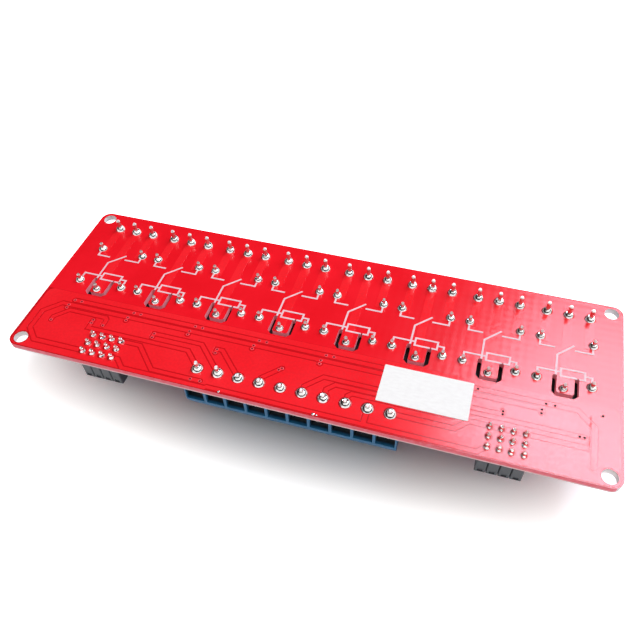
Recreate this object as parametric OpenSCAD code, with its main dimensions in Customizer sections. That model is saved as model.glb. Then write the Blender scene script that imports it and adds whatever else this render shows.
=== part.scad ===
// Eight-channel relay module board, lying on the lids of its relays with the solder side up.
// X runs along the board, Y from the input side to the output side, Z up from the relay lids.
// Every size is in millimetres.

/* [Circuit board] */
// Length of the board, along X
board_length = 142.5; // [142:0.5:160]
// Width of the board, along Y
board_width = 50; // [49.5:0.5:56]
// Thickness of the board
board_thickness = 1.6; // [1:0.1:2.4]
// Radius of the board's four corners
board_corner_radius = 2.5; // [1:0.25:3]
// Diameter of the four mounting holes
mounting_hole_diameter = 3.4; // [2.6:0.1:3.8]
// Distance from a mounting hole's centre to the nearer end of the board
mounting_inset_x = 2.75; // [2.5:0.05:3]
// Distance from a mounting hole's centre to the nearer long edge
mounting_inset_y = 2.5; // [2.4:0.05:3]
// Diameter of a plated via
via_diameter = 0.4; // [0.3:0.05:0.5]

/* [Copper and print] */
// Height of the masked copper above the bare board
copper_thickness = 0.05; // [0.035:0.005:0.1]
// Width of a contact conductor between a relay and its terminal
power_track_width = 2.1; // [1.6:0.1:2.3]
// Width of a supply bus
bus_width = 1.05; // [0.8:0.05:1.1]
// Width of a signal track
signal_width = 0.9; // [0.6:0.05:0.95]
// Gap between a track and the ground fill round it
track_gap = 0.3; // [0.2:0.05:0.35]
// Thickness of the white printed legend
print_thickness = 0.03; // [0.02:0.01:0.06]
// Width of a printed line
print_line = 0.45; // [0.3:0.05:0.6]
// Length of the blank paper label
label_length = 20.4; // [16:0.2:21]
// Height of the blank paper label
label_width = 10.2; // [8:0.2:10.4]
// Thickness of the blank paper label
label_thickness = 0.12; // [0.08:0.01:0.2]

/* [Relays] */
// Distance between the middles of neighbouring relays
relay_pitch = 16.7; // [16.3:0.05:16.8]
// Size of a relay along the board
relay_length = 15.5; // [15:0.1:16]
// Size of a relay across the board
relay_width = 19.1; // [18.6:0.1:19.8]
// Height of a relay's case
relay_height = 15.3; // [14.5:0.1:16.5]
// Height of the feet that hold a relay's case off the board
relay_standoff = 0.3; // [0.2:0.1:0.6]
// Radius of a relay's upright edges
relay_edge_radius = 0.8; // [0.4:0.1:1.2]
// Chamfer round a relay's lid
relay_lid_chamfer = 0.5; // [0.3:0.1:0.8]
// Distance of the relays' centre line from the middle of the board
relay_row_y = 3.9; // [3.6:0.1:4.1]
// Diameter of a relay pin
relay_pin_diameter = 0.9; // [0.7:0.05:1]
// Length of a relay pin beyond the solder side
relay_pin_length = 2.1; // [1.6:0.1:2.6]

/* [Screw terminals] */
// Distance between neighbouring terminal poles
terminal_pitch = 5.08; // [5:0.02:5.16]
// Depth of a terminal block, front to back
terminal_depth = 7.6; // [7.2:0.1:8]
// Distance from a block's pin line to its wire side
terminal_front = 3.8; // [3.6:0.1:4]
// Height of a terminal block
terminal_height = 10; // [9.6:0.1:11]
// Height at which the wire side starts to lean back
terminal_slope_height = 6.4; // [6.2:0.1:7.4]
// How far the top of the wire side leans back
terminal_slope_depth = 1.7; // [1:0.1:2]
// Wall between two wire entries
terminal_divider = 0.68; // [0.5:0.02:0.9]
// Height of a wire entry's floor above the board
wire_entry_floor = 1.9; // [1.6:0.1:2.1]
// Height of a wire entry
wire_entry_height = 3.9; // [3.5:0.1:3.9]
// Diameter of a screw well
screw_well_diameter = 4; // [3.7:0.1:4.3]
// Diameter of a clamp screw's head
screw_head_diameter = 3.5; // [3:0.1:3.6]
// Diameter of a clamp screw's shank
screw_shank_diameter = 2.4; // [2:0.1:2.6]
// Diameter of a terminal pin
terminal_pin_diameter = 1; // [0.8:0.05:1.1]
// Distance from the output pins to the board's far edge
output_row_inset = 5.6; // [5.3:0.1:5.8]
// Distance from the input pins to the board's near edge
input_row_inset = 5.2; // [5:0.1:5.4]
// Length of an output pin beyond the solder side
output_pin_length = 3.3; // [2.5:0.1:3.5]
// Length of the first input block's pins beyond the solder side
long_input_pin_length = 2.5; // [2:0.1:3]
// Length of the other input pins beyond the solder side
input_pin_length = 1.3; // [1.2:0.1:2]

/* [Jumper headers] */
// Distance between neighbouring header pins
header_pitch = 2.54; // [2.5:0.02:2.6]
// Distance between the middles of the two headers
header_spread = 95.5; // [94:0.5:98]
// Distance from the middle row of header pins to the board's near edge
header_inset = 5.26; // [5.1:0.02:5.5]
// Height of a header's moulded base
header_base_height = 2.5; // [2.2:0.1:3]
// Width of a square header pin
header_pin_width = 0.64; // [0.56:0.02:0.7]
// Length of a header pin beyond the solder side
header_pin_length = 1.5; // [1.2:0.1:2]
// Height of a jumper cap
cap_height = 4.9; // [4.5:0.1:6]
// Gap between two jumper caps
cap_gap = 0.12; // [0.08:0.02:0.2]

/* [Solder] */
// Diameter of a joint at a relay pin
relay_joint_diameter = 2.25; // [1.8:0.05:2.4]
// Diameter of a joint at an output pin
output_joint_diameter = 2.5; // [2:0.1:2.8]
// Diameter of a joint at an input pin
input_joint_diameter = 2.7; // [2.2:0.1:2.9]
// Diameter of a joint at a header pin
header_joint_diameter = 1.5; // [1.3:0.05:1.6]

/* [Surface parts] */
// Length of an optocoupler's body, across its leads
opto_length = 4.4; // [4:0.1:4.8]
// Width of an optocoupler's body
opto_width = 4.1; // [3.6:0.1:4.4]
// Height of an optocoupler's body
opto_height = 2; // [1.8:0.1:2.3]
// Thickness of an optocoupler's leads
lead_thickness = 0.2; // [0.15:0.05:0.3]
// Length of a chip resistor
chip_length = 2; // [1.6:0.1:2.2]
// Width of a chip resistor
chip_width = 1.25; // [0.8:0.05:1.3]
// Height of a chip resistor
chip_height = 0.5; // [0.4:0.05:0.7]
// Length of a coil's driver transistor
transistor_length = 2.9; // [2.7:0.1:3.1]
// Width of a coil's driver transistor
transistor_width = 1.3; // [1.2:0.1:1.5]
// Height of a coil's driver transistor
transistor_height = 1; // [0.9:0.05:1.1]
// Length of the diode across a coil
diode_length = 4.3; // [4:0.1:4.6]
// Width of the diode across a coil
diode_width = 2.6; // [2.4:0.1:2.8]
// Height of the diode across a coil
diode_height = 2.1; // [1.9:0.1:2.4]

/* [Hidden] */
$fn = 48;
fit = 0.1;               // clearance between pieces that slide together
through = 1;             // how far a cutting tool runs past what it cuts
channels = 8;            // relays, output blocks, jumpers and optocouplers
input_blocks = [2, 4, 4];  // poles of the input blocks, left to right
input_block_names = ["left", "middle", "right"];
header_columns = 4;
header_rows = 3;
sides = [-1, 1];

// Heights
component_z = relay_standoff + relay_height;      // underside of the board
solder_z = component_z + board_thickness;         // bare top of the board
copper_z = solder_z + copper_thickness;           // top of the masked copper

// Places of the channels: as close as the relays allow, and the output blocks where they are longer
output_poles = 3;
block_clearance = 0.7;                            // least gap between two output blocks
relay_clearance = 0.4;                            // least gap between two relays
channel_pitch = max(relay_pitch, relay_length + relay_clearance,
                    output_poles * terminal_pitch + block_clearance);
function channel_x(i) = (i - (channels - 1) / 2) * channel_pitch;
relay_pin_spread = 6;                             // contact and coil pins, to each side
relay_pin_end = 2.45;                             // from a relay's end to its outer pin rows
contact_y = relay_row_y + relay_width / 2 - relay_pin_end;
common_y = relay_row_y - relay_width / 2 + relay_pin_end;
coil_y = common_y + 2;
relay_pins = [
    [-relay_pin_spread, contact_y], [relay_pin_spread, contact_y],
    [-relay_pin_spread, coil_y], [relay_pin_spread, coil_y], [0, common_y]
];

// Places of the terminals
output_y = board_width / 2 - output_row_inset;
input_y = -board_width / 2 + input_row_inset;
input_poles = input_blocks[0] + input_blocks[1] + input_blocks[2];
function input_x(i) = (i - (input_poles - 1) / 2) * terminal_pitch;
function poles_before(block) = block == 0 ? 0 : input_blocks[block - 1] + poles_before(block - 1);
function block_x(block) = (input_x(poles_before(block)) + input_x(poles_before(block + 1) - 1)) / 2;

// Places of the header pins: side is -1 for the left header and 1 for the right one
header_y = -board_width / 2 + header_inset;
function header_x(side, column) = side * header_spread / 2
    + (column - (header_columns - 1) / 2) * header_pitch;
function row_y(row) = header_y + (1 - row) * header_pitch;

// Holes and joints
relay_hole = relay_pin_diameter + 0.4;
terminal_hole = terminal_pin_diameter + 0.4;
header_hole = header_pin_width * sqrt(2) + 0.15;
common_joint_diameter = relay_joint_diameter - 0.25;
joint_ring = 0.25;                                // bare ring between a logic joint and the ground fill
relay_joint_height = 1;
output_joint_height = 1.2;
input_joint_height = 1;
header_joint_height = 1.1;
isolation_slot_width = 1;
isolation_slot_offset = 0.35;

// ---- Plane geometry ----

function unit(v) = v / norm(v);
function left_of(v) = [-v[1], v[0]];

// Corner i of a bent line, moved sideways so that the line keeps its width round the bend
function mitre(points, i, offset) =
    let (last = len(points) - 1,
         before = i == 0 ? unit(points[1] - points[0]) : unit(points[i] - points[i - 1]),
         after = i == last ? before : unit(points[i + 1] - points[i]),
         normal = unit(left_of(before) + left_of(after)))
    points[i] + normal * offset / (normal * left_of(after));

function line_outline(points, width) = concat(
    [for (i = [0:len(points) - 1]) mitre(points, i, width / 2)],
    [for (i = [len(points) - 1:-1:0]) mitre(points, i, -width / 2)]);

// A bent line with square ends
module bent_line(points, width) {
    polygon(line_outline(points, width));
}

// A bent line with round ends
module round_line(points, width) {
    bent_line(points, width);
    translate(points[0]) circle(d = width);
    translate(points[len(points) - 1]) circle(d = width);
}

module rounded_rectangle(size, radius) {
    square([size[0], size[1] - 2 * radius], center = true);
    square([size[0] - 2 * radius, size[1]], center = true);
    for (x = sides, y = sides)
        translate([x * (size[0] / 2 - radius), y * (size[1] / 2 - radius)]) circle(radius);
}

module chamfered_square(side, chamfer) {
    half = side / 2;
    inner = half - chamfer;
    polygon([
        [-inner, -half], [inner, -half], [half, -inner], [half, inner],
        [inner, half], [-inner, half], [-half, inner], [-half, -inner]
    ]);
}

// ---- Placing ----

// Children are drawn standing on the underside of the board, growing away from it
module below_board() {
    translate([0, 0, component_z]) mirror([0, 0, 1]) children();
}

module each_relay_pin() {
    for (channel = [0:channels - 1], pin = relay_pins)
        translate([channel_x(channel) + pin[0], pin[1]]) children();
}

module each_contact_pin() {
    for (channel = [0:channels - 1], pin = [0:3])
        translate([channel_x(channel) + relay_pins[pin][0], relay_pins[pin][1]]) children();
}

module each_common_pin() {
    for (channel = [0:channels - 1])
        translate([channel_x(channel), common_y]) children();
}

module each_output_pole() {
    for (channel = [0:channels - 1], pole = [-1:1])
        translate([channel_x(channel) + pole * terminal_pitch, output_y]) children();
}

module each_input_pole(first = 0, last = input_poles - 1) {
    for (pole = [first:last]) translate([input_x(pole), input_y]) children();
}

module each_header_pin(header_sides = sides) {
    for (side = header_sides, column = [0:header_columns - 1], row = [0:header_rows - 1])
        translate([header_x(side, column), row_y(row)]) children();
}

module each_mounting_hole() {
    for (x = sides, y = sides)
        translate([
            x * (board_length / 2 - mounting_inset_x),
            y * (board_width / 2 - mounting_inset_y)
        ]) children();
}

// ---- Circuit board ----

// U-shaped air gap that isolates a relay's common contact from its coil
module isolation_slot() {
    leg = 2.45;
    corner = 0.7;
    top = common_y + 3.2;
    bottom = common_y - 1.7;
    translate([isolation_slot_offset, 0])
        round_line([
            [-leg, top], [-leg, bottom + corner], [-leg + corner, bottom],
            [leg - corner, bottom], [leg, bottom + corner], [leg, top]
        ], isolation_slot_width);
}

// Vias sit where a channel's driver and its input signal change sides
driver_via_x = -4.2;
input_via_x = 4.5;
supply_via_x = [-3.4, -1.5];

// Rows of the tracks, counted down from the top of the ground fill
fill_top = common_y - 2.65;
bus_1_y = fill_top - 2.35;
bus_2_y = bus_1_y - 1.65;
link_y = bus_2_y - 1.65;
driver_via_y = [bus_2_y - 0.1, bus_2_y - 1.1];
in_2_y = link_y - 1.45;
in_3_y = in_2_y - 0.4;
in_4_y = in_2_y - 1.6;
in_6_y = in_2_y - 1.4;
in_7_y = in_2_y - 2.75;
in_8_y = in_2_y - 4.1;
in_1_y = in_2_y - 2.6;
far_in_7_y = in_2_y - 0.6;
far_in_8_y = in_2_y - 1.75;
edge_bus_y = -board_width / 2 + 0.95;
label_clearance = 1.15;                           // from the label to the input joints
left_run_x = -board_length / 2 + 3.15;
right_run_x = board_length / 2 - 5.95;
link_left_x = channel_x(0) - 5.9;
link_right_x = channel_x(0) + 7.65;
label_x = channel_x(5) + 4.05;
label_y = input_y + input_joint_diameter / 2 + label_clearance + label_width / 2;

// Each track is [the line through its corners, its width]
tracks = [
    // supply bus past every channel, down the right-hand end
    [[
        [channel_x(0) + supply_via_x[0], bus_1_y], [right_run_x - 3.6, bus_1_y],
        [right_run_x, bus_1_y - 3.6], [right_run_x, row_y(2) + 0.8]
    ], bus_width],
    // second bus, from the left header round the left-hand end
    [[
        [header_x(-1, 0), row_y(2)], [left_run_x + 3.1, row_y(2)], [left_run_x, row_y(2) + 3.1],
        [left_run_x, bus_2_y - 3.65], [left_run_x + 3.65, bus_2_y],
        [channel_x(7) + driver_via_x, bus_2_y], [channel_x(7) + driver_via_x, driver_via_y[1]]
    ], bus_width],
    // link over the left header
    [[
        [link_left_x, link_y - 4.1], [link_left_x, link_y - 3], [link_left_x + 3, link_y],
        [link_right_x - 0.5, link_y], [link_right_x, link_y - 0.5], [link_right_x, link_y - 2.4]
    ], signal_width],
    // inputs of channels 1 to 4
    [[
        [channel_x(0) + input_via_x, in_2_y], [channel_x(0) + input_via_x, in_1_y],
        [input_x(0) - (in_1_y - input_y), in_1_y], [input_x(0), input_y]
    ], signal_width],
    [[
        [channel_x(1) + input_via_x, in_2_y - 1.2], [channel_x(1) + input_via_x, in_2_y],
        [input_x(1) - (in_2_y - input_y), in_2_y], [input_x(1), input_y]
    ], signal_width],
    [[
        [channel_x(2) + input_via_x, in_3_y - 1.1], [channel_x(2) + input_via_x, in_3_y],
        [input_x(2) - (in_3_y - input_y), in_3_y], [input_x(2), input_y]
    ], signal_width],
    [[
        [channel_x(3) + input_via_x, in_4_y],
        [input_x(3), in_4_y - (channel_x(3) + input_via_x - input_x(3))], [input_x(3), input_y]
    ], signal_width],
    // inputs of channels 6 to 8
    [[
        [input_x(5), input_y], [input_x(5), in_6_y - 3.6], [input_x(5) + 3.6, in_6_y],
        [channel_x(5) + input_via_x, in_6_y], [channel_x(5) + input_via_x, in_6_y + 1.2]
    ], signal_width],
    [[
        [input_x(6), input_y], [input_x(6), in_7_y - 1.7], [input_x(6) + 1.7, in_7_y],
        [label_x + 5, in_7_y], [label_x + 5 + far_in_7_y - in_7_y, far_in_7_y],
        [channel_x(6) + input_via_x, far_in_7_y], [channel_x(6) + input_via_x, far_in_7_y + 0.9]
    ], signal_width],
    [[
        [input_x(7), input_y], [input_x(7), in_8_y - 0.8], [input_x(7) + 0.8, in_8_y],
        [label_x + 7, in_8_y], [label_x + 7 + far_in_8_y - in_8_y, far_in_8_y],
        [channel_x(7) + input_via_x + 0.4, far_in_8_y]
    ], signal_width],
    // supply from the last input pole through the right header
    [[
        [input_x(9), input_y], [header_x(1, 0) - 7.1, input_y],
        [header_x(1, 0) - 7.1 + row_y(0) - input_y, row_y(0)], [right_run_x - 1.1, row_y(0)]
    ], bus_width],
    // bus along the near edge, header to header
    [[
        [header_x(-1, 3), row_y(2)], [header_x(-1, 3) + 1.7, row_y(2)],
        [header_x(-1, 3) + 3.8, row_y(2) - 2.1], [input_x(1) - 1.4, row_y(2) - 2.1],
        [input_x(1) - 1, edge_bus_y], [header_x(1, 0) - row_y(2) + edge_bus_y, edge_bus_y],
        [header_x(1, 0), row_y(2)]
    ], signal_width],
    [[[input_x(8), input_y], [input_x(8), edge_bus_y]], bus_width],
    // return of the left header
    [[
        [header_x(-1, 3), row_y(0)], [header_x(-1, 3) + 5, row_y(0)],
        [header_x(-1, 3) + 10.8, row_y(0) - 5.8], [input_x(0) + 2, row_y(0) - 5.8]
    ], signal_width]
];

vias = concat(
    [for (i = [0:channels - 1], x = supply_via_x) [channel_x(i) + x, bus_1_y]],
    [for (i = [0:channels - 1], y = driver_via_y) [channel_x(i) + driver_via_x, y]],
    [
        [link_left_x, link_y - 4.1], [link_right_x, link_y - 2.4],
        [channel_x(0) + input_via_x, in_2_y], [channel_x(0) + input_via_x, in_2_y - 1],
        [channel_x(1) + input_via_x, in_2_y], [channel_x(1) + input_via_x, in_2_y - 1.2],
        [channel_x(2) + input_via_x, in_3_y], [channel_x(2) + input_via_x, in_3_y - 1.1],
        [channel_x(3) + input_via_x, in_4_y], [channel_x(3) + input_via_x - 0.6, in_4_y - 0.6],
        [channel_x(5) + input_via_x, in_6_y + 1.2],
        [channel_x(6) + input_via_x, far_in_7_y + 0.1], [channel_x(6) + input_via_x, far_in_7_y + 0.9],
        [channel_x(7) + input_via_x - 0.6, far_in_8_y], [channel_x(7) + input_via_x + 0.4, far_in_8_y],
        [right_run_x + 1.6, bus_1_y],
        [input_x(0) + 2, row_y(0) - 5.8], [input_x(0) - 0.4, row_y(0) - 5.8]
    ]);

module drilled_holes() {
    each_mounting_hole() circle(d = mounting_hole_diameter);
    each_relay_pin() circle(d = relay_hole);
    each_output_pole() circle(d = terminal_hole);
    each_input_pole() circle(d = terminal_hole);
    each_header_pin() circle(d = header_hole);
    for (via = vias) translate(via) circle(d = via_diameter);
    for (channel = [0:channels - 1]) translate([channel_x(channel), 0]) isolation_slot();
}

module circuit_board() {
    color("firebrick")
        translate([0, 0, component_z])
            linear_extrude(board_thickness)
                difference() {
                    rounded_rectangle([board_length, board_width], board_corner_radius);
                    drilled_holes();
                }
}

// ---- Copper under the red mask ----

// Everything the tracks keep clear of in the ground fill
module track_lanes() {
    for (track = tracks) round_line(track[0], track[1] + 2 * track_gap);
    for (i = [0:channels - 1])
        translate([channel_x(i) + driver_via_x, driver_via_y[1]]) circle(d = bus_width + 2 * track_gap);
}

module ground_fill() {
    side_gap = 0.7;
    edge_gap = 0.25;
    fill_corner = 1.8;
    height = fill_top + board_width / 2 - edge_gap;
    translate([0, fill_top - height / 2])
        rounded_rectangle([board_length - 2 * side_gap, height], fill_corner);
}

// Wide conductors that carry the switched current from a relay to its output block
module power_tracks() {
    end = 1.25;
    for (side = sides)
        translate([side * terminal_pitch - power_track_width / 2, contact_y - end])
            square([power_track_width, output_y - contact_y + 2 * end]);
    translate([-power_track_width / 2, common_y - end])
        square([power_track_width, output_y - common_y + 2 * end]);
}

module copper_tracks() {
    color("red")
        translate([0, 0, solder_z])
            linear_extrude(copper_thickness)
                difference() {
                    union() {
                        difference() {
                            ground_fill();
                            track_lanes();
                        }
                        for (track = tracks) round_line(track[0], track[1]);
                        for (i = [0:channels - 1])
                            translate([channel_x(i) + driver_via_x, driver_via_y[1]])
                                circle(d = bus_width);
                        for (channel = [0:channels - 1])
                            translate([channel_x(channel), 0]) power_tracks();
                    }
                    each_mounting_hole() circle(d = mounting_hole_diameter + 2 * track_gap);
                    each_contact_pin() circle(d = relay_joint_diameter);
                    each_common_pin() circle(d = common_joint_diameter);
                    each_output_pole() circle(d = output_joint_diameter);
                    each_input_pole() circle(d = input_joint_diameter + 2 * joint_ring);
                    each_header_pin() circle(d = header_joint_diameter + 2 * joint_ring);
                    for (via = vias) translate(via) circle(d = via_diameter);
                }
}

// ---- Printed legend and label ----

// Circuit symbol of one relay: two fixed contacts, the moving arm and the coil
module relay_symbol() {
    lead = 2.6;
    coil_top = coil_y + 3.7;
    coil_bottom = coil_y + 1.5;
    coil_left = -0.85;
    coil_right = 4.45;
    contact_start = contact_y - relay_joint_diameter / 2 - 0.1;
    coil_start = coil_y + relay_joint_diameter / 2 + 0.2;
    bent_line([
        [-relay_pin_spread, contact_start], [-relay_pin_spread, contact_y - lead], [-2.5, contact_y - lead]
    ], print_line);
    bent_line([
        [relay_pin_spread, contact_start], [relay_pin_spread, contact_y - lead], [1.95, contact_y - lead]
    ], print_line);
    bent_line([[-1.9, coil_y + 1.6], [-1.9, coil_y + 7.5], [1.75, contact_y - 1.1]], print_line);
    bent_line([
        [-relay_pin_spread, coil_start], [-relay_pin_spread, coil_y + lead], [coil_left, coil_y + lead]
    ], print_line);
    bent_line([
        [3.2, coil_bottom], [coil_right, coil_bottom], [coil_right, coil_top],
        [coil_left, coil_top], [coil_left, coil_bottom], [2.8, coil_bottom]
    ], print_line);
    bent_line([
        [coil_right, coil_y + lead], [relay_pin_spread, coil_y + lead], [relay_pin_spread, coil_start]
    ], print_line);
}

module legend_print() {
    color("white")
        translate([0, 0, copper_z])
            linear_extrude(print_thickness)
                for (channel = [0:channels - 1])
                    translate([channel_x(channel), 0]) relay_symbol();
}

module blank_label() {
    color("white")
        translate([label_x, label_y, copper_z])
            linear_extrude(label_thickness) rounded_rectangle([label_length, label_width], 0.25);
}

// ---- Relays ----

// Outline of a case seen from one side, with its lid edges chamfered
module case_side(width) {
    half = width / 2;
    top = component_z;
    polygon([
        [-half, 0], [half, 0], [half, top - relay_lid_chamfer], [half - relay_lid_chamfer, top],
        [-half + relay_lid_chamfer, top], [-half, top - relay_lid_chamfer]
    ]);
}

// A sealed relay: case on four corner feet, potted base set back inside its rim, vent mark in the lid
module relay(i) {
    rim = 0.9;
    base_recess = 0.6;
    foot = 1.6;
    vent_inset = 2;
    color("royalblue")
        translate([channel_x(i - 1), relay_row_y, 0])
            below_board()
                difference() {
                    intersection() {
                        linear_extrude(component_z)
                            rounded_rectangle([relay_length, relay_width], relay_edge_radius);
                        rotate([90, 0, 0])
                            linear_extrude(relay_width + through, center = true) case_side(relay_length);
                        rotate([90, 0, 90])
                            linear_extrude(relay_length + through, center = true) case_side(relay_width);
                    }
                    for (turn = [0, 90]) {
                        span = turn == 0 ? relay_length - 2 * foot : relay_length + through;
                        depth = turn == 0 ? relay_width + through : relay_width - 2 * foot;
                        translate([-span / 2, -depth / 2, -through])
                            cube([span, depth, relay_standoff + through]);
                    }
                    translate([-relay_length / 2 + rim, -relay_width / 2 + rim, -through])
                        cube([
                            relay_length - 2 * rim, relay_width - 2 * rim,
                            through + relay_standoff + base_recess
                        ]);
                    translate([
                        relay_length / 2 - vent_inset, relay_width / 2 - vent_inset, component_z - 0.3
                    ])
                        cylinder(d = 1.2, h = 0.3 + through);
                }
}

// A round pin that stands on z = 0 and narrows at its tip
module round_pin(diameter, length) {
    tip = diameter / 3;
    rotate_extrude()
        polygon([
            [0, 0], [diameter / 2, 0], [diameter / 2, length - tip], [diameter / 3, length], [0, length]
        ]);
}

module relay_pins() {
    inside = relay_standoff + 0.6;
    color("silver")
        translate([0, 0, component_z - inside])
            each_relay_pin()
                round_pin(relay_pin_diameter, inside + board_thickness + relay_pin_length);
}

// ---- Screw terminals ----

block_back = terminal_front - terminal_depth;
block_back_wall = 1.6;
cage_wall = 0.5;
entry_back = block_back + block_back_wall;

// Outline of a block seen from its end; the wire side is at +X here and becomes +Y
module block_side() {
    back_chamfer = 0.5;
    polygon([
        [block_back, 0], [terminal_front, 0], [terminal_front, terminal_slope_height],
        [terminal_front - terminal_slope_depth, terminal_height],
        [block_back + back_chamfer, terminal_height], [block_back, terminal_height - back_chamfer]
    ]);
}

// Outline of a block seen from its wire side, with one top corner rounded
module block_front(length) {
    radius = 1.35;
    half = length / 2;
    polygon([
        [-half, 0], [half, 0], [half, terminal_height], [-half + radius, terminal_height],
        [-half, terminal_height - radius]
    ]);
    translate([-half + radius, terminal_height - radius]) circle(radius);
}

// Dovetail that locks one block to the next, behind the wire entries; grow makes the matching groove
module dovetail(grow = 0) {
    reach = 0.5 + grow;
    root = 0.26 + grow;
    tip = 0.42 + grow;
    top = terminal_height - 2.5 + grow;
    translate([0, (block_back + entry_back) / 2, 0])
        linear_extrude(top)
            polygon([[0.05, -root], [0.05, root], [-reach, tip], [-reach, -tip]]);
}

// Moulded body of a block with its pin line on the X axis and its wire side towards +Y
module block_body(poles) {
    length = poles * terminal_pitch;
    entry_width = terminal_pitch - terminal_divider;
    difference() {
        union() {
            intersection() {
                rotate([90, 0, 90]) linear_extrude(length, center = true) block_side();
                rotate([90, 0, 0])
                    linear_extrude(2 * terminal_depth + through, center = true) block_front(length);
            }
            translate([-length / 2, 0, 0]) dovetail();
        }
        translate([length / 2, 0, 0]) dovetail(fit);
        for (pole = [0:poles - 1])
            translate([(pole - (poles - 1) / 2) * terminal_pitch, 0, 0]) {
                translate([-entry_width / 2, entry_back, wire_entry_floor])
                    cube([entry_width, terminal_front - entry_back + through, wire_entry_height]);
                translate([0, 0, wire_entry_floor + wire_entry_height / 2])
                    cylinder(d = screw_well_diameter, h = terminal_height);
                translate([0, 0, -through])
                    cylinder(d = terminal_pin_diameter + 2 * fit, h = through + wire_entry_floor + fit);
            }
    }
}

// Folded metal cage that a wire goes into, with the solder pin that stands out below it
module clamp_cage(pin_length) {
    width = terminal_pitch - terminal_divider - 2 * fit;
    height = wire_entry_height - fit;
    depth = 2 * (-entry_back - fit);
    below = wire_entry_floor + board_thickness + pin_length;
    translate([0, 0, wire_entry_floor])
        difference() {
            translate([-width / 2, -depth / 2, 0]) cube([width, depth, height]);
            translate([-width / 2 + cage_wall, -depth / 2 - through, cage_wall])
                cube([width - 2 * cage_wall, depth + 2 * through, height - 2 * cage_wall]);
            translate([0, 0, height / 2]) cylinder(d = screw_shank_diameter, h = height);
        }
    translate([0, 0, wire_entry_floor]) mirror([0, 0, 1]) round_pin(terminal_pin_diameter, below);
}

// Slotted screw that stands on the cage and reaches down into it
module clamp_screw() {
    head_height = 1.7;
    slot_width = 0.6;
    slot_depth = 0.7;
    reach = 1.3;
    seat = wire_entry_floor + wire_entry_height - fit;
    translate([0, 0, seat - reach]) cylinder(d = screw_shank_diameter, h = reach);
    difference() {
        translate([0, 0, seat]) cylinder(d = screw_head_diameter, h = head_height);
        translate([-screw_head_diameter, -slot_width / 2, seat + head_height - slot_depth])
            cube([2 * screw_head_diameter, slot_width, slot_depth + through]);
    }
}

module output_terminal(i) {
    color("royalblue")
        translate([channel_x(i - 1), output_y, 0]) below_board() block_body(output_poles);
}

module input_terminal(block) {
    color("royalblue")
        translate([block_x(block), input_y, 0])
            below_board() mirror([0, 1, 0]) block_body(input_blocks[block]);
}

module output_clamps() {
    color("silver") below_board() each_output_pole() clamp_cage(output_pin_length);
}

module input_clamps() {
    long_poles = input_blocks[0];
    color("silver")
        below_board() {
            each_input_pole(0, long_poles - 1) clamp_cage(long_input_pin_length);
            each_input_pole(long_poles, input_poles - 1) clamp_cage(input_pin_length);
        }
}

module output_screws() {
    color("silver") below_board() each_output_pole() clamp_screw();
}

module input_screws() {
    color("silver") below_board() each_input_pole() clamp_screw();
}

// ---- Jumper headers ----

cap_top = header_base_height + cap_height;
cap_roof = 0.4;
pin_top = cap_top - cap_roof - 0.25;

module jumper_header(side) {
    cell_chamfer = 0.4;
    color("dimgray")
        below_board()
            linear_extrude(header_base_height)
                difference() {
                    each_header_pin([side]) chamfered_square(header_pitch + 0.001, cell_chamfer);
                    each_header_pin([side]) square(header_pin_width, center = true);
                }
}

// A square pin that stands on z = 0 and is pointed at both ends
module square_pin(width, length) {
    half = width / 2;
    point = half / 2;
    taper = 0.4;
    profile = [
        [-point, 0], [point, 0], [half, taper], [half, length - taper],
        [point, length], [-point, length], [-half, length - taper], [-half, taper]
    ];
    intersection() {
        rotate([90, 0, 0]) linear_extrude(width, center = true) polygon(profile);
        rotate([90, 0, 90]) linear_extrude(width, center = true) polygon(profile);
    }
}

module header_pins() {
    below = board_thickness + header_pin_length;
    color("silver")
        below_board()
            translate([0, 0, -below]) each_header_pin() square_pin(header_pin_width, below + pin_top);
}

// Each cap joins the two pins nearer the board's edge
function cap_x(i) = header_x(i <= header_columns ? -1 : 1, (i - 1) % header_columns);
cap_y = (row_y(1) + row_y(2)) / 2;
clip_wall = 0.22;

module jumper_cap(i) {
    width = header_pitch - cap_gap;
    length = 2 * header_pitch - cap_gap;
    chamfer = 0.35;
    cavity_width = header_pin_width + 2 * clip_wall + fit;
    cavity_length = header_pitch + header_pin_width + 2 * fit;
    grip = 0.25;
    color("dimgray")
        translate([cap_x(i), cap_y, 0])
            below_board()
                translate([0, 0, header_base_height])
                    difference() {
                        intersection() {
                            linear_extrude(cap_height) rounded_rectangle([width, length], 0.3);
                            rotate([90, 0, 90])
                                linear_extrude(width + through, center = true)
                                    polygon([
                                        [-length / 2, 0], [length / 2, 0],
                                        [length / 2, cap_height - chamfer],
                                        [length / 2 - chamfer, cap_height],
                                        [-length / 2 + chamfer, cap_height],
                                        [-length / 2, cap_height - chamfer]
                                    ]);
                        }
                        translate([-cavity_width / 2, -cavity_length / 2, -through])
                            cube([cavity_width, cavity_length, cap_height - cap_roof + through]);
                        for (end = sides)
                            translate([-width / 4, end * length / 2 - grip, cap_height - 1.6])
                                cube([width / 2, 2 * grip, 1]);
                    }
}

// Folded clip inside each cap that grips both pins
module jumper_clips() {
    width = header_pin_width + 2 * clip_wall;
    length = header_pitch + header_pin_width;
    foot = 0.5;
    top = cap_top - cap_roof;
    color("silver")
        below_board()
            for (i = [1:channels])
                translate([cap_x(i), cap_y, 0])
                    difference() {
                        translate([-width / 2, -length / 2, header_base_height + foot])
                            cube([width, length, top - header_base_height - foot]);
                        translate([-header_pin_width / 2, -length / 2 - through, 0])
                            cube([header_pin_width, length + 2 * through, pin_top]);
                    }
}

// ---- Surface parts on the component side ----

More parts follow.
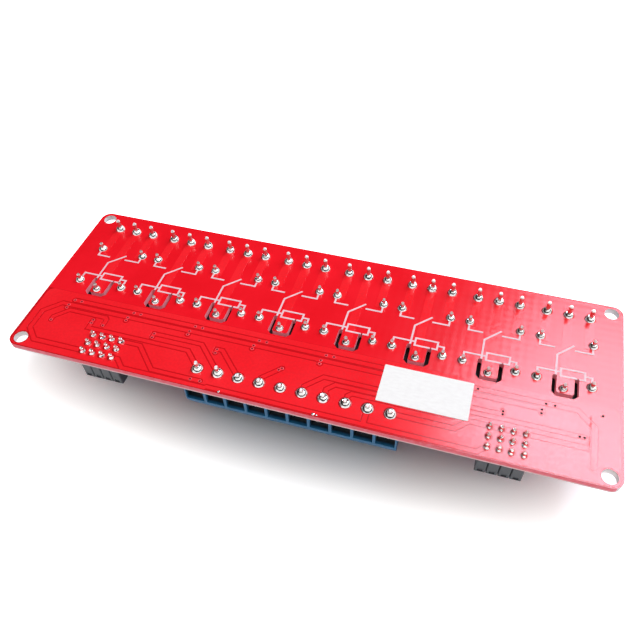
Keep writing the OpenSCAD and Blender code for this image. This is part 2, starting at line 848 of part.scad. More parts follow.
// The parts of a channel stand between its relay and the input blocks: the diode and the indicator
// by the relay, the transistor and the resistors by the blocks
part_clearance = 0.6;                             // to the relay, to the blocks and to each other
relay_edge_y = relay_row_y - relay_width / 2;
block_edge_y = input_y - block_back;
opto_gap = 0.1;
opto_draft = 0.25;
opto_lead_reach = 1.2;                            // from the body to a lead's toe
opto_x = -opto_length / 2 - opto_lead_reach - part_clearance;
opto_y = (relay_edge_y + block_edge_y) / 2;
diode_tab = [0.9, 1.5, 0.25];
diode_x = part_clearance + diode_length / 2;
diode_y = relay_edge_y - part_clearance - diode_width / 2;
transistor_leg = [0.4, 0.55, 0.15];
transistor_x = part_clearance + transistor_length / 2;
transistor_y = block_edge_y + part_clearance + transistor_width / 2 + transistor_leg[1];
chip_x = diode_x + diode_length / 2 + diode_tab[0] / 2 + part_clearance + chip_length / 2;
indicator_y = relay_edge_y - part_clearance - chip_width / 2;
function chip_y(row) = block_edge_y + part_clearance + chip_width / 2 + row * (chip_width + part_clearance);
chip_places = [[chip_x, chip_y(0)], [chip_x, chip_y(1)], [chip_x, chip_y(2)], [opto_x, chip_y(0)]];

module drafted_profile(width, height, draft) {
    half = width / 2;
    polygon([
        [-half + draft, 0], [half - draft, 0], [half, height / 2],
        [half - draft, height], [-half + draft, height], [-half, height / 2]
    ]);
}

module moulded_body(length, width, height, draft) {
    intersection() {
        rotate([90, 0, 0])
            linear_extrude(length, center = true) drafted_profile(width, height, draft);
        rotate([90, 0, 90])
            linear_extrude(width, center = true) drafted_profile(length, height, draft);
    }
}

module optocoupler(i) {
    dot_inset = 0.9;
    color("gray")
        translate([channel_x(i - 1) + opto_x, opto_y, 0])
            below_board()
                translate([0, 0, opto_gap])
                    difference() {
                        moulded_body(opto_width, opto_length, opto_height, opto_draft);
                        translate([
                            -opto_length / 2 + dot_inset, opto_width / 2 - dot_inset, opto_height - 0.1
                        ])
                            cylinder(d = 0.6, h = 0.1 + through);
                    }
}

// Gull-wing leads, two to each end of the body
module optocoupler_leads() {
    lead_width = 0.4;
    lead_pitch = 2.54;
    middle = opto_gap + opto_height / 2;
    root = opto_length / 2 + 0.01;
    knee = root + 0.35;
    line = [
        [root, middle], [knee, middle], [knee + 0.15, lead_thickness / 2],
        [root + opto_lead_reach, lead_thickness / 2]
    ];
    color("silver")
        below_board()
            for (channel = [0:channels - 1], end = [0, 180], y = sides)
                translate([channel_x(channel) + opto_x, opto_y, 0])
                    rotate([0, 0, end])
                        translate([0, y * lead_pitch / 2, 0])
                            rotate([90, 0, 0])
                                linear_extrude(lead_width, center = true) bent_line(line, lead_thickness);
}

// Three-legged transistor that drives a relay coil
module driver_transistors() {
    leg_pitch = 1.9;
    leg = transistor_leg;
    leg_root = transistor_width / 2 - 0.25;
    color("gray")
        below_board()
            for (channel = [0:channels - 1])
                translate([channel_x(channel) + transistor_x, transistor_y, 0]) {
                    translate([0, 0, 0.08])
                        moulded_body(transistor_width, transistor_length, transistor_height, 0.12);
                    for (x = [-leg_pitch / 2, leg_pitch / 2])
                        translate([x - leg[0] / 2, -leg_root - leg[1], 0]) cube(leg);
                    translate([-leg[0] / 2, leg_root, 0]) cube(leg);
                }
}

// Diode across each coil
module flyback_diodes() {
    tab = diode_tab;
    color("gray")
        below_board()
            for (channel = [0:channels - 1])
                translate([channel_x(channel) + diode_x, diode_y, 0]) {
                    translate([0, 0, 0.1]) moulded_body(diode_width, diode_length, diode_height, 0.2);
                    for (end = sides)
                        translate([end * (diode_length / 2 - 0.1) - tab[0] / 2, -tab[1] / 2, 0]) cube(tab);
                }
}

module chip(length, width, height) {
    cap = length / 5;
    skin = 0.03;
    translate([-length / 2, -width / 2 + skin, 0]) cube([length, width - 2 * skin, height - skin]);
    for (end = sides)
        translate([end * (length - cap) / 2 - cap / 2, -width / 2, 0]) cube([cap, width, height]);
}

module chip_resistors() {
    color("dimgray")
        below_board()
            for (channel = [0:channels - 1], place = chip_places)
                translate([channel_x(channel) + place[0], place[1], 0])
                    chip(chip_length, chip_width, chip_height);
}

// One indicator to each channel, and one for the supply
module indicator_leds() {
    lens_height = 0.9;
    color("white")
        below_board() {
            for (channel = [0:channels - 1])
                translate([channel_x(channel) + chip_x, indicator_y, 0]) led(lens_height);
            translate([link_left_x + 1.2, row_y(1), 0]) led(lens_height);
        }
}

module led(lens_height) {
    chip(chip_length, chip_width, chip_height);
    translate([0, 0, chip_height - 0.05])
        linear_extrude(lens_height - chip_height + 0.05)
            square([chip_length * 0.55, chip_width * 0.8], center = true);
}

// ---- Solder ----

// A joint that fills its hole round the pin and rises to the pin from the board's face
module solder_joint(diameter, height, hole, pin) {
    steps = 5;
    rise = height - copper_thickness;
    rotate_extrude()
        polygon(concat(
            [[pin / 2, -board_thickness], [hole / 2, -board_thickness], [hole / 2, 0], [diameter / 2, 0]],
            [for (i = [0:steps]) let (s = 1 - i / steps)
                [pin / 2 + (diameter - pin) / 2 * s, copper_thickness + rise * (1 - pow(s, 1.6))]]));
}

module relay_solder() {
    color("silver")
        translate([0, 0, solder_z]) {
            each_contact_pin()
                solder_joint(relay_joint_diameter, relay_joint_height, relay_hole, relay_pin_diameter);
            each_common_pin()
                solder_joint(common_joint_diameter, relay_joint_height, relay_hole, relay_pin_diameter);
        }
}

module output_solder() {
    color("silver")
        translate([0, 0, solder_z])
            each_output_pole()
                solder_joint(
                    output_joint_diameter, output_joint_height, terminal_hole, terminal_pin_diameter
                );
}

module input_solder() {
    color("silver")
        translate([0, 0, solder_z])
            each_input_pole()
                solder_joint(
                    input_joint_diameter, input_joint_height, terminal_hole, terminal_pin_diameter
                );
}

module header_solder() {
    color("silver")
        translate([0, 0, solder_z])
            each_header_pin()
                difference() {
                    solder_joint(
                        header_joint_diameter, header_joint_height, header_hole, header_pin_width / 2
                    );
                    translate([0, 0, -board_thickness - through])
                        linear_extrude(board_thickness + header_joint_height + 2 * through)
                            square(header_pin_width, center = true);
                }
}

// ---- Assembly ----

function numbered(name) = [for (i = [1:channels]) str(name, "_", i)];

circuit_board();
copper_tracks();
legend_print();
blank_label();
for (i = [1:channels]) relay(i);
relay_pins();
for (i = [1:channels]) output_terminal(i);
output_clamps();
output_screws();
for (b = [0:2]) input_terminal(b);
input_clamps();
input_screws();
jumper_header(-1);  // jumper_header_left
jumper_header(1);  // jumper_header_right
header_pins();
for (i = [1:channels]) jumper_cap(i);
jumper_clips();
for (i = [1:channels]) optocoupler(i);
optocoupler_leads();
driver_transistors();
flyback_diodes();
chip_resistors();
indicator_leds();
relay_solder();
output_solder();
input_solder();
header_solder();
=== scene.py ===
# Looks of the eight-channel relay module board, which lies on its relays with the solder side up.
# X runs along the board, Y from the input side to the output side, Z up. All lengths are in metres.
import math
import random

import bmesh
import bpy
from mathutils import Matrix, Vector, noise


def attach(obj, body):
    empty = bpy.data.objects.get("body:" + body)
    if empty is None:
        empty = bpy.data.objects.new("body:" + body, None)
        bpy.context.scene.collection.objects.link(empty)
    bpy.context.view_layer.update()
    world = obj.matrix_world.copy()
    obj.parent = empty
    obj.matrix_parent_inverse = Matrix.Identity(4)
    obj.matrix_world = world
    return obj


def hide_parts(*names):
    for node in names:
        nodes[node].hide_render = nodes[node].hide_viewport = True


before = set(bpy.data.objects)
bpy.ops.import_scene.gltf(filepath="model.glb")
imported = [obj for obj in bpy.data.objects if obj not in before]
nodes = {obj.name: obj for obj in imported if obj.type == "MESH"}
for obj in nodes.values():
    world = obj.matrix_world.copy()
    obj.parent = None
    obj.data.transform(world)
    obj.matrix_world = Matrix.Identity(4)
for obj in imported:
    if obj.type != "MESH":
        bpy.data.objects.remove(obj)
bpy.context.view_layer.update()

# ---- Camera ----
# Stands in front of the input side, a little to the right, and looks down at about fifty degrees.
# It is turned towards the -X end, so that the board fills its view from side to side.
camera = bpy.data.objects.new("camera", bpy.data.cameras.new("camera"))
bpy.context.collection.objects.link(camera)
right = Vector((0.95794, 0.28572, -0.02665)).normalized()
back = Vector((0.20563, -0.61873, 0.75822)).normalized()
up = back.cross(right)
camera.matrix_world = Matrix.Translation((0.03325, -0.09687, 0.13827)) @ Matrix(
    (right, up, back)).transposed().to_4x4()
camera.data.lens = 36.58
camera.data.sensor_width = 36
camera.data.clip_start = 0.001
bpy.context.scene.camera = camera
bpy.context.scene.view_settings.view_transform = "Standard"


# ---- Floor, backdrop and studio light ----
# A white paper floor with a low white wall far round it. Under the board and close round it the floor
# keeps its shadow; farther out, and on the wall, it shows as plain white to the camera and in reflections.
class Shade:
    """A value in a material's node tree that works like a number, so a look reads as arithmetic."""

    def __init__(self, tree, socket):
        self.tree, self.socket = tree, socket

    def node(self, kind, inputs=(), out=0, **settings):
        """Adds any node, with its properties as settings and its sockets by name or place."""
        made = self.tree.nodes.new("ShaderNode" + kind)
        for name, value in settings.items():
            setattr(made, name, value)
        for name, value in dict(inputs).items():
            self.feed(made.inputs[name], value)
        return Shade(self.tree, made.outputs[out])

    def feed(self, socket, value):
        """Links a value to a socket, or sets it there when it is a plain number, colour or vector."""
        if isinstance(value, Shade):
            self.tree.links.new(value.socket, socket)
        elif socket.type == "RGBA":
            socket.default_value = (*value, 1)
        elif socket.type == "VECTOR":
            socket.default_value = value if isinstance(value, tuple) else (value, value, value)
        else:
            socket.default_value = value

    def work(self, how, first, second):
        """Adds a Math node, or a Vector Math node where either side is a vector or a colour."""
        wide = any(
            isinstance(v, tuple) or isinstance(v, Shade) and v.socket.type != "VALUE"
            for v in (first, second))
        return self.node("VectorMath" if wide else "Math", {0: first, 1: second}, operation=how)

    def __add__(self, other): return self.work("ADD", self, other)
    def __radd__(self, other): return self.work("ADD", other, self)
    def __sub__(self, other): return self.work("SUBTRACT", self, other)
    def __rsub__(self, other): return self.work("SUBTRACT", other, self)
    def __mul__(self, other): return self.work("MULTIPLY", self, other)
    def __rmul__(self, other): return self.work("MULTIPLY", other, self)

    def axis(self, letter):
        """One coordinate of this vector."""
        return self.node("SeparateXYZ", {0: self}, out=letter)

    def mix(self, low, high):
        """Blends two colours, with this value as the share of the second."""
        return self.node("Mix", {0: self, 6: low, 7: high}, out=2, data_type="RGBA")

    def ramp(self, start, end, low=0.0, high=1.0):
        """Maps start..end on low..high, smoothly and no further."""
        return self.node("MapRange", {0: self, 1: start, 2: end, 3: low, 4: high},
                         interpolation_type="SMOOTHSTEP")

    def noise(self, scale, detail=2.0, roughness=0.5, stretch=(1.0, 1.0, 1.0)):
        """Noise over this place, with scale in waves to the metre."""
        return self.node("TexNoise", {"Vector": self * stretch, "Scale": scale, "Detail": detail,
                                      "Roughness": roughness})

    def bump(self, height):
        """A normal that this value raises, by the height in metres."""
        return self.node("Bump", {"Height": self, "Distance": height, "Strength": 1.0})


def surface(name, **sockets):
    """A new material, its shader, and the place of a point on it."""
    material = bpy.data.materials.new(name)
    material.use_nodes = True
    shader = material.node_tree.nodes["Principled BSDF"]
    start = Shade(material.node_tree, None)
    for socket, value in sockets.items():
        start.feed(shader.inputs[socket.replace("_", " ")], value)
    return material, shader, start.node("TexCoord", out="Object")


wall_distance, wall_height, wall_sides = 6, 1.7, 96
form = bmesh.new()
rings = [[form.verts.new((wall_distance * math.cos(a), wall_distance * math.sin(a), height))
          for a in (math.tau * i / wall_sides for i in range(wall_sides))] for height in (0, wall_height)]
form.faces.new(rings[0])
for i in range(wall_sides):
    form.faces.new((rings[0][i - 1], rings[0][i], rings[1][i], rings[1][i - 1]))
mesh = bpy.data.meshes.new("floor")
form.to_mesh(mesh)
form.free()
floor = bpy.data.objects.new("floor", mesh)
bpy.context.collection.objects.link(floor)
material, shader, place = surface("floor_paper", Base_Color=(0.95, 0.95, 0.95), Roughness=0.9)
looked_at = (place.node("LightPath", out="Is Camera Ray") + place.node("LightPath", out="Is Glossy Ray")
             + place.node("LightPath", out="Is Transmission Ray"))
shadow_start, shadow_end, shadow_squash = 0.020, 0.052, 0.42   # across the board; it is longer along it
reach = place.node("VectorMath", {0: place * (shadow_squash, 1.0, 1.0)}, out="Value", operation="LENGTH")
place.feed(shader.inputs["Emission Color"],
           (looked_at * reach.ramp(shadow_start, shadow_end)).mix((0, 0, 0), (1, 1, 1)))
shader.inputs["Emission Strength"].default_value = 1
mesh.materials.append(material)

# A dim even surrounding and four panels overhead. The wide ceiling panel and the side panel light the
# whole board; the glossy mask mirrors the two small bluish ones over the right-hand third of the board.
world = bpy.data.worlds.new("studio")
world.use_nodes = True
bpy.context.scene.world = world
world.node_tree.nodes["Background"].inputs["Color"].default_value = (1, 1, 1, 1)
world.node_tree.nodes["Background"].inputs["Strength"].default_value = 0.05
bluish = (0.92, 1.0, 1.22)
for name, centre, size, turn, radiance, tint in (
        ("ceiling_panel", (0.35, -0.45, 1.05), (2.3, 1.65), 0, 1.0, (1.02, 1, 0.97)),
        ("side_panel", (0.72, 0.50, 1.02), (1.05, 0.9), -21, 2.0, (1, 1, 1)),
        ("bright_panel", (0.405, 0.70, 0.98), (0.6, 0.55), -21, 8.0, bluish),
        ("near_panel", (0.352, 0.548, 0.97), (0.6, 0.23), -21, 3.5, bluish)):
    data = bpy.data.lights.new(name, "AREA")
    data.shape = "RECTANGLE"
    data.size, data.size_y = size
    data.energy = radiance * math.pi * size[0] * size[1]
    data.color = tint
    lamp = bpy.data.objects.new(name, data)
    lamp.location = centre
    lamp.rotation_euler = (0, 0, math.radians(turn))
    bpy.context.collection.objects.link(lamp)


# ---- Circuit board ----
# Glass-fibre board, sawn and drilled, under a glossy red mask. The sawn edge and the hole walls show the
# pale resin. The lanes between the copper on the logic side are a darker red, partly the bare board's own
# colour under the mask and partly painted shade of the copper's raised edges.
def dress(material, *names):
    """Gives a material to carried CAD nodes."""
    for name in names:
        for slot in nodes[name].material_slots:
            slot.material = material


half_length, half_width = 0.07125, 0.025
fill_edge = -0.0056     # Y where the fill of the relay side ends and the lanes of the logic side begin
cut_line = 0.0160       # height on the sawn edge below which it is paler
bolt_holes_from = 0.065  # the holes farther than this from the middle are the bolt holes
material, shader, place = surface("red_mask", IOR=1.5)
flat = place.node("Math", {0: place.node("NewGeometry", out="Normal").axis("Z")}, operation="ABSOLUTE")
flat = flat.ramp(0.3, 0.8)
cloud = place.noise(90, 3)
red = cloud.ramp(0.3, 0.7).mix((0.85, 0.005, 0.013), (0.91, 0.007, 0.017))
# Darker red in the lanes of the logic side: partly the bare board's own colour, partly painted shade.
red = place.axis("Y").ramp(fill_edge, fill_edge - 0.0003).mix(red, (0.60, 0.003, 0.008))
away = place.node("VectorMath", {0: place}, operation="ABSOLUTE")
drilled = away.axis("X").ramp(bolt_holes_from - 0.001, bolt_holes_from + 0.001).mix(
    (0.95, 0.36, 0.42), (0.90, 0.84, 0.82))
grain = place.noise(900, 2).ramp(0.3, 0.7)
sawn = place.axis("Z").ramp(cut_line + 0.0001, cut_line - 0.0001).mix(
    grain.mix((0.92, 0.13, 0.17), (0.97, 0.20, 0.25)), (0.96, 0.60, 0.60))
outside = place.node("Math", {0: away.axis("X").ramp(half_length - 0.00045, half_length - 0.00035),
                              1: away.axis("Y").ramp(half_width - 0.0004, half_width - 0.0003)},
                     operation="MAXIMUM")
place.feed(shader.inputs["Base Color"], flat.mix(outside.mix(drilled, sawn), red))
place.feed(shader.inputs["Roughness"], cloud * 0.08 + (0.62 - flat * 0.46))
weave = (place.node("TexWave", {"Vector": place, "Scale": 160.0, "Distortion": 0.4}, out=1)
         + place.node("TexWave", {"Vector": place, "Scale": 160.0, "Distortion": 0.4}, out=1,
                      bands_direction="Y"))
place.feed(shader.inputs["Normal"], (weave * 0.35 + place.noise(260, 2)).bump(0.000015))
dress(material, "circuit_board")

# ---- Copper under the mask ----
# Etched tracks, ground fill and power bands. They stand a little higher than the bare board and look
# brighter through the mask, which is scuffed in one narrow place near the +X end.
scuff_left, scuff_right, scuff_near, scuff_far = 0.0641, 0.0648, -0.0178, -0.0080
material, shader, place = surface("red_mask_on_copper", IOR=1.5)
cloud = place.noise(70, 3)
speck = place.noise(1500, 1)
red = cloud.ramp(0.3, 0.7).mix((0.95, 0.012, 0.020), (0.99, 0.017, 0.026))
place.feed(shader.inputs["Base Color"], speck.ramp(0.25, 0.75).mix(red, red * 0.93))
scuff = (place.noise(900, 4, 0.7).ramp(0.42, 0.56)
         * place.axis("X").ramp(scuff_left, scuff_left + 0.0002)
         * place.axis("X").ramp(scuff_right, scuff_right - 0.0003)
         * place.axis("Y").ramp(scuff_near, scuff_near + 0.0013)
         * place.axis("Y").ramp(scuff_far, scuff_far - 0.0020))
place.feed(shader.inputs["Roughness"], cloud * 0.1 + (speck.ramp(0.3, 0.7, 0.08, 0.17) + scuff * 0.3))
place.feed(shader.inputs["Normal"], (place.noise(350, 2) * 0.4 + place.noise(1600, 3) * 0.6).bump(0.000018))
dress(material, "copper_tracks")

# ---- Printed legend ----
# White epoxy ink, printed through a screen on the mask: one relay symbol to each channel.
# It is a little uneven, with the red showing faintly through.
material, shader, place = surface("white_print", Roughness=0.5)
place.feed(shader.inputs["Base Color"],
           place.noise(1200, 3).ramp(0.3, 0.75).mix((0.80, 0.50, 0.53), (0.88, 0.62, 0.65)))
place.feed(shader.inputs["Normal"], place.noise(2500, 2).bump(0.00001))
dress(material, "legend_print")

# ---- Blank label ----
# A matt paper sticker, cut square and pressed on the mask. Its face shows a fine fibre and carries
# no print.
material, shader, place = surface("white_label")
fibre = place.noise(700, 4, 0.6, stretch=(1.0, 2.5, 1.0))
place.feed(shader.inputs["Base Color"], fibre.ramp(0.2, 0.8).mix((0.85, 0.82, 0.78), (0.92, 0.90, 0.855)))
place.feed(shader.inputs["Roughness"], fibre * 0.2 + 0.7)
place.feed(shader.inputs["Normal"], fibre.bump(0.00001))
dress(material, "blank_label")

# ---- Relays ----
# Sealed blue plastic cases, glossy from the mould, lid down on the floor. Faces that look up, inside the
# rim of the base, are near black and rougher.
dark_faces_from = 0.0140
material, shader, place = surface("relay_blue", IOR=1.5)
haze = place.noise(120, 3)
blue = haze.ramp(0.2, 0.8).mix((0.010, 0.075, 0.36), (0.014, 0.095, 0.42))
# Faces that look up, above this height, are coloured near black.
dark_up_faces = (place.node("NewGeometry", out="Normal").axis("Z").ramp(0.6, 0.9)
          * place.axis("Z").ramp(dark_faces_from, dark_faces_from + 0.0004))
place.feed(shader.inputs["Base Color"], dark_up_faces.mix(blue, (0.010, 0.006, 0.006)))
place.feed(shader.inputs["Roughness"], haze * 0.2 + (0.2 + dark_up_faces * 0.5))
place.feed(shader.inputs["Normal"], place.noise(600, 2).bump(0.000012))
dress(material, *[f"relay_{i}" for i in range(1, 9)])

# ---- Screw terminals ----
# Moulded blue housings with a finer, duller skin than the relays. Inside the wire entries and pockets the
# plastic is painted near black, a painted shade for these recesses.
half_pitch = 0.00835                                # half the distance between two output blocks
output_row_from = 0.0140                            # Y where the output blocks begin
output_pockets, input_pockets = 0.0075, 0.0253      # how far the pockets reach from the middle, along X
output_face, input_face = 0.0231, -0.0235           # Y of the wire sides
entry_floor, entry_roof = 0.00965, 0.01375
material, shader, place = surface("terminal_blue", IOR=1.5)
haze = place.noise(200, 3)
blue = haze.ramp(0.2, 0.8).mix((0.010, 0.14, 0.30), (0.016, 0.17, 0.36))
in_output = place.axis("Y").ramp(output_row_from, output_row_from + 0.0001)
in_block = place.node("Math", {0: place.axis("X"), 1: half_pitch, 2: -half_pitch}, operation="WRAP")
from_middle = place.node("Math", {0: place.node("Mix", {0: in_output, 2: place.axis("X"), 3: in_block})},
                         operation="ABSOLUTE")
within = (from_middle.ramp(output_pockets, output_pockets - 0.0001) * in_output
          + from_middle.ramp(input_pockets, input_pockets - 0.0001) * (1 - in_output))
behind_face = place.node("Mix", {0: in_output, 2: place.axis("Y").ramp(input_face, input_face + 0.001),
                                 3: place.axis("Y").ramp(output_face, output_face - 0.001)})
# Painted shade: the insides of the wire entries and pockets are coloured near black.
painted_entry_shade = (within * behind_face * place.axis("Z").ramp(entry_floor, entry_floor + 0.00015)
          * place.axis("Z").ramp(entry_roof, entry_roof - 0.00015))
place.feed(shader.inputs["Base Color"], painted_entry_shade.mix(blue, (0.002, 0.012, 0.022)))
place.feed(shader.inputs["Roughness"], haze * 0.2 + 0.3)
place.feed(shader.inputs["Normal"], place.noise(2500, 2).bump(0.00001))
dress(material, *[f"output_terminal_{i}" for i in range(1, 9)],
      "input_terminal_left", "input_terminal_middle", "input_terminal_right")

# ---- Pins, clamps, clips and leads ----
# Tinned copper alloy: pale, slightly yellowed in patches, with fine drawing marks. Faces that look up are
# painted: near white on the terminals' pins and clamps, a painted highlight, and darker and reddish on the
# other parts, a painted shade tinted like a reflection of the red mask.
for name, painted_top, where in (
        ("tinned_metal", (0.50, 0.36, 0.34),
         ("relay_pins", "header_pins", "jumper_clips", "optocoupler_leads")),
        ("tinned_metal_painted_highlight", (0.95, 0.94, 0.93), ("output_clamps", "input_clamps"))):
    material, shader, place = surface(name, Metallic=1.0)
    patch = place.noise(500, 3)
    drawn = patch.ramp(0.3, 0.7).mix((0.62, 0.60, 0.56), (0.78, 0.77, 0.75))
    # Painted highlight and painted shade: faces that look up take the painted top colour.
    cut = place.node("NewGeometry", out="Normal").axis("Z").ramp(0.35, 0.7)
    place.feed(shader.inputs["Base Color"], cut.mix(drawn, painted_top))
    place.feed(shader.inputs["Roughness"], patch * 0.2 + (0.15 + cut * 0.4))
    place.feed(shader.inputs["Normal"], place.noise(1800, 2, stretch=(1.0, 1.0, 0.2)).bump(0.000015))
    dress(material, *where)

# ---- Clamp screws ----
# Nickel-plated steel, turned and slotted. Each one is driven into its clamp cage, and is reached
# through the round well in its housing.
material, shader, place = surface("screw_steel", Metallic=1.0)
patch = place.noise(900, 2)
place.feed(shader.inputs["Base Color"], patch.ramp(0.3, 0.7).mix((0.50, 0.49, 0.47), (0.62, 0.61, 0.60)))
place.feed(shader.inputs["Roughness"], patch * 0.2 + 0.22)
place.feed(shader.inputs["Normal"], place.noise(3000, 1).bump(0.00001))
dress(material, "output_screws", "input_screws")

# ---- Jumper headers and caps ----
# Strips of glass-filled black plastic moulded round their pins, which are soldered through the board,
# and dark grey caps that are pushed on pairs of pins.
for name, low, high, where in (
        ("header_black", (0.012, 0.012, 0.013), (0.022, 0.022, 0.024),
         ("jumper_header_left", "jumper_header_right")),
        ("cap_grey", (0.050, 0.056, 0.066), (0.070, 0.078, 0.090),
         [f"jumper_cap_{i}" for i in range(1, 9)])):
    material, shader, place = surface(name, IOR=1.5)
    haze = place.noise(700, 3)
    place.feed(shader.inputs["Base Color"], haze.ramp(0.2, 0.8).mix(low, high))
    place.feed(shader.inputs["Roughness"], haze * 0.25 + 0.35)
    place.feed(shader.inputs["Normal"], place.noise(3500, 2).bump(0.00001))
    dress(material, *where)


# ---- Surface parts ----
# Moulded black packages with a dull skin and tinned leads, diodes with a grey band, resistors with tinned
# end caps, and clear indicator lenses, all soldered flat on the component side.
def add_piece(name, form, finishes, replaced=None):
    """Turns a form into a piece of the board, in place of a carried node where one is named."""
    mesh = bpy.data.meshes.new(name)
    form.to_mesh(mesh)
    form.free()
    for finish in finishes:
        mesh.materials.append(finish)
    piece = bpy.data.objects.new(name, mesh)
    bpy.context.collection.objects.link(piece)
    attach(piece, "root")
    if replaced:
        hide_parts(replaced)


def faces_round(verts):
    """All the faces that meet at these corners."""
    return {face for vert in verts for face in vert.link_faces}


black, shader, place = surface("package_black", IOR=1.5)
haze = place.noise(1500, 3)
place.feed(shader.inputs["Base Color"], haze.ramp(0.2, 0.8).mix((0.015, 0.015, 0.016), (0.03, 0.03, 0.032)))
place.feed(shader.inputs["Roughness"], haze * 0.2 + 0.5)
place.feed(shader.inputs["Normal"], place.noise(6000, 2).bump(0.00001))
dress(black, *[f"optocoupler_{i}" for i in range(1, 9)])
band, shader, place = surface("band_grey", Roughness=0.6)
place.feed(shader.inputs["Base Color"],
           place.noise(4000, 2).ramp(0.3, 0.7).mix((0.42, 0.42, 0.41), (0.55, 0.55, 0.54)))
tinned = nodes["optocoupler_leads"].material_slots[0].material
finishes = (black, band, tinned)
body, stripe, metal = range(3)
# Each package is cut across at the given shares of its length, and every stretch takes its own finish.
# Anything thinner than the least body height is a lead.
for name, replaced, body_height, stretches, slot in (
        ("resistors", "chip_resistors", 0.0003, ((0.17, metal), (0.83, body), (1.01, metal)), "chip_black"),
        ("diodes", "flyback_diodes", 0.0012, ((0.14, body), (0.30, stripe), (1.01, body)), "package_black"),
        ("transistors", "driver_transistors", 0.0006, ((1.01, body),), "package_black")):
    form = bmesh.new()
    form.from_mesh(nodes[replaced].data)
    bmesh.ops.remove_doubles(form, verts=form.verts, dist=1e-7)
    waiting = set(form.verts)
    while waiting:
        front = [waiting.pop()]
        package = set(front)
        while front:
            near = {line.other_vert(vert) for vert in front for line in vert.link_edges} & waiting
            waiting -= near
            package |= near
            front = list(near)
        low, high = (Vector([pick(v.co[i] for v in package) for i in range(3)]) for pick in (min, max))
        along = 0 if high.x - low.x > high.y - low.y else 1
        if high.z - low.z < body_height:
            for face in faces_round(package):
                face.material_index = metal
            continue
        for share, _ in stretches[:-1]:
            lines = {line for vert in package for line in vert.link_edges}
            cut = bmesh.ops.bisect_plane(form, geom=[*package, *lines, *faces_round(package)], dist=1e-7,
                                         plane_co=low.lerp(high, share),
                                         plane_no=[float(along == i) for i in range(3)])
            package |= {item for item in cut["geom_cut"] if isinstance(item, bmesh.types.BMVert)}
        for face in faces_round(package):
            at = (face.calc_center_median()[along] - low[along]) / (high[along] - low[along])
            face.material_index = next(finish for share, finish in stretches if at < share)
    add_piece(name, form, finishes, replaced)
material, shader, place = surface("led_clear", Roughness=0.15, IOR=1.5)
haze = place.noise(1500, 2)
place.feed(shader.inputs["Base Color"], haze.ramp(0.2, 0.8).mix((0.75, 0.72, 0.62), (0.85, 0.83, 0.75)))
dress(material, "indicator_leds")

# ---- Solder joints ----
# Hand-soldered fillets: tin-lead that has wetted its pad and run up the pin, no two quite the same.
# Each one stands on its pad, from the bare rim to where the metal hugs the pin. The side that faces the -X
# end is painted dark, a painted shade in place of the dark reflections on that side.
board_top = 0.0172
skirt_depth = 0.0004    # how far a joint reaches into the board, as the solder in its hole does
solder, shader, place = surface("solder", Metallic=1.0)
patch = place.noise(700, 2)
bright = patch.ramp(0.3, 0.7).mix((0.86, 0.85, 0.85), (0.97, 0.96, 0.96))
turned = place.node("VectorMath", {0: place.node("NewGeometry", out="Normal"), 1: (-0.95, 0.30, 0.10)},
                    out="Value", operation="DOT_PRODUCT")
# Painted shade: faces turned towards the -X end are coloured dark, standing in for the dark reflections
# there.
painted_dark_side = (turned + patch * 0.3).ramp(0.20, 0.42)
place.feed(shader.inputs["Base Color"], painted_dark_side.mix(bright, (0.24, 0.20, 0.20)))
place.feed(shader.inputs["Roughness"], patch.ramp(0.3, 0.8, 0.05, 0.14))
place.feed(shader.inputs["Normal"], (place.noise(900, 2) + place.noise(5000, 1) * 0.1).bump(0.000010))


def round_spots(node, high, least_turn=0.0):
    """Centre and radius of each round form in a carried node at a height, found along its edges.

    Only edges where the surface turns by the least angle count, so a flat face joins no two forms.
    """
    form = bmesh.new()
    form.from_mesh(nodes[node].data)
    bmesh.ops.remove_doubles(form, verts=form.verts, dist=1e-7)
    level = {v for v in form.verts if abs(v.co.z - high) < 2e-5}
    spots = []
    while level:
        loop, front = [], [level.pop()]
        while front:
            vert = front.pop()
            loop.append(vert.co.copy())
            for line in vert.link_edges:
                other = line.other_vert(vert)
                if other in level and line.calc_face_angle(0) >= least_turn:
                    level.remove(other)
                    front.append(other)
        centre = sum(loop, Vector()) / len(loop)
        spots.append((centre, max((co - centre).length for co in loop)))
    form.free()
    return sorted(spots, key=lambda spot: (round(spot[0].x, 5), round(spot[0].y, 5)))


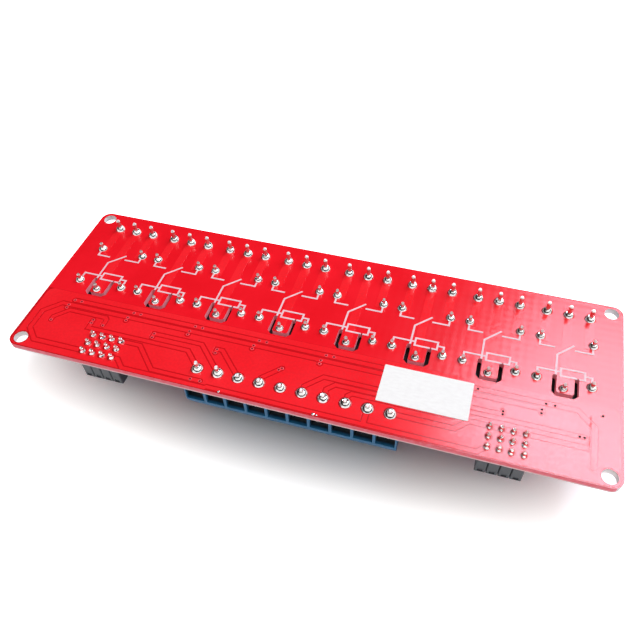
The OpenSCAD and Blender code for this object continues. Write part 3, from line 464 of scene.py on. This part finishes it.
# For each kind: how far the solder spreads past the CAD joint, the pin's radius, the height at the pin,
# and the height of the dome as a share of its radius. Below full_cone a joint is a dome, above it a cone.
full_cone = 0.8
turns, steps = 40, 11
chance = random.Random(7)
for name, replaced, spread, pin, tall, fullness in (
        ("relay_joints", "relay_solder", 1.10, 0.00045, 0.00085, 0.62),
        ("output_joints", "output_solder", 1.10, 0.0005, 0.00095, 0.66),
        ("input_joints", "input_solder", 1.12, 0.0005, 0.00088, 0.55),
        ("header_joints", "header_solder", 1.0, 0.00036, 0.0011, 0.85)):
    form = bmesh.new()
    for (x, y, _), radius in round_spots(replaced, board_top):
        radius *= spread
        lean, bulge = chance.uniform(0, math.tau), chance.uniform(0.0, 0.05)
        height = tall * chance.uniform(0.85, 1.05)
        dome = fullness * radius * chance.uniform(0.9, 1.15)
        curl = chance.uniform(1.9, 2.3) if fullness < full_cone else chance.uniform(0.8, 1.2)
        rings = []
        for step in range(steps + 1):
            share = step / steps
            ring = []
            for turn in range(turns):
                angle = math.tau * turn / turns
                rim = radius * (1.0 - bulge + bulge * math.cos(angle - lean))
                wobble = noise.noise(Vector((x * 900 + math.cos(angle), y * 900 + math.sin(angle), share)))
                rim += radius * 0.03 * wobble
                out = pin + (rim - pin) * share
                lift = dome * (1 - share ** curl) + (height - dome) * max(0, 1 - share / 0.3) ** 2
                lift *= 1 + 0.12 * (1 - share) * math.cos(angle - lean)
                ring.append(form.verts.new((x + out * math.cos(angle), y + out * math.sin(angle),
                                            board_top + 0.00001 + lift)))
            rings.append(ring)
        skirt = [form.verts.new((v.co.x, v.co.y, board_top - skirt_depth)) for v in rings[-1]]
        sleeve = [form.verts.new((v.co.x, v.co.y, board_top - skirt_depth)) for v in rings[0]]
        rings = [sleeve, *rings, skirt]
        for low, high in zip(rings, rings[1:]):
            for turn in range(turns):
                form.faces.new((low[turn - 1], high[turn - 1], high[turn], low[turn])).smooth = True
    bmesh.ops.recalc_face_normals(form, faces=form.faces)
    add_piece(name, form, [solder], replaced)

# ---- Stray solder ----
# Small beads of tin-lead that splashed beside the input terminals while those were soldered, and
# froze flat on the mask.
form = bmesh.new()
for x, y, size in ((-0.0156, -0.0246, 0.00030), (0.0067, -0.02455, 0.00038), (0.0075, -0.0246, 0.00024)):
    for vert in bmesh.ops.create_icosphere(form, subdivisions=3, radius=1)["verts"]:
        vert.co *= size * (1 + 0.25 * noise.noise(vert.co * 1.5 + Vector((x, y, 0)) * 4000))
        vert.co = Vector((x + vert.co.x, y + vert.co.y * 0.8, board_top + 0.00018 + vert.co.z * 0.5))
for face in form.faces:
    face.smooth = True
add_piece("stray_solder", form, [solder])

# ---- Vias ----
# Plated holes in a low collar of mask. Each mouth is a flat disc: red towards the -X end, where the mask
# closes it, and near black towards the +X end, a painted shade standing in for an open hole.
mask_top = 0.01725
largest_via = 0.0003
collar_profile = ((2.0, -0.00001), (1.9, 0.00002), (1.6, 0.000025), (1.3, 0.000012))   # radii, heights
collar_sides = 16
collar, shader, place = surface("via_collar", Roughness=0.2, IOR=1.5)
tone = place.noise(3000, 2)
place.feed(shader.inputs["Base Color"], tone.ramp(0.3, 0.7).mix((0.80, 0.05, 0.07), (0.92, 0.14, 0.17)))
place.feed(shader.inputs["Normal"], tone.bump(0.00001))
mouth, shader, place = surface("via_mouth", Roughness=1.0, Specular_IOR_Level=0.0)
closed = place.axis("X").ramp(0.030, 0.015)
# Painted shade: the mouths towards the +X end are near black, in place of the dark of an open hole.
painted_hole_shade = place.noise(3000, 2).ramp(0.3, 0.7).mix((0.004, 0.001, 0.001), (0.010, 0.002, 0.002))
place.feed(shader.inputs["Base Color"], closed.mix(painted_hole_shade, (0.30, 0.006, 0.010)))
form = bmesh.new()
for (x, y, _), radius in round_spots("circuit_board", board_top, least_turn=0.3):
    if radius > largest_via:
        continue
    rings = [[form.verts.new((x + radius * r * math.cos(a), y + radius * r * math.sin(a), mask_top + z))
              for a in (math.tau * i / collar_sides for i in range(collar_sides))]
             for r, z in collar_profile]
    for outer, inner in zip(rings, rings[1:]):
        for i in range(collar_sides):
            form.faces.new((outer[i - 1], outer[i], inner[i], inner[i - 1])).smooth = True
    form.faces.new(rings[-1]).material_index = 1
add_piece("via_collars", form, [collar, mouth])
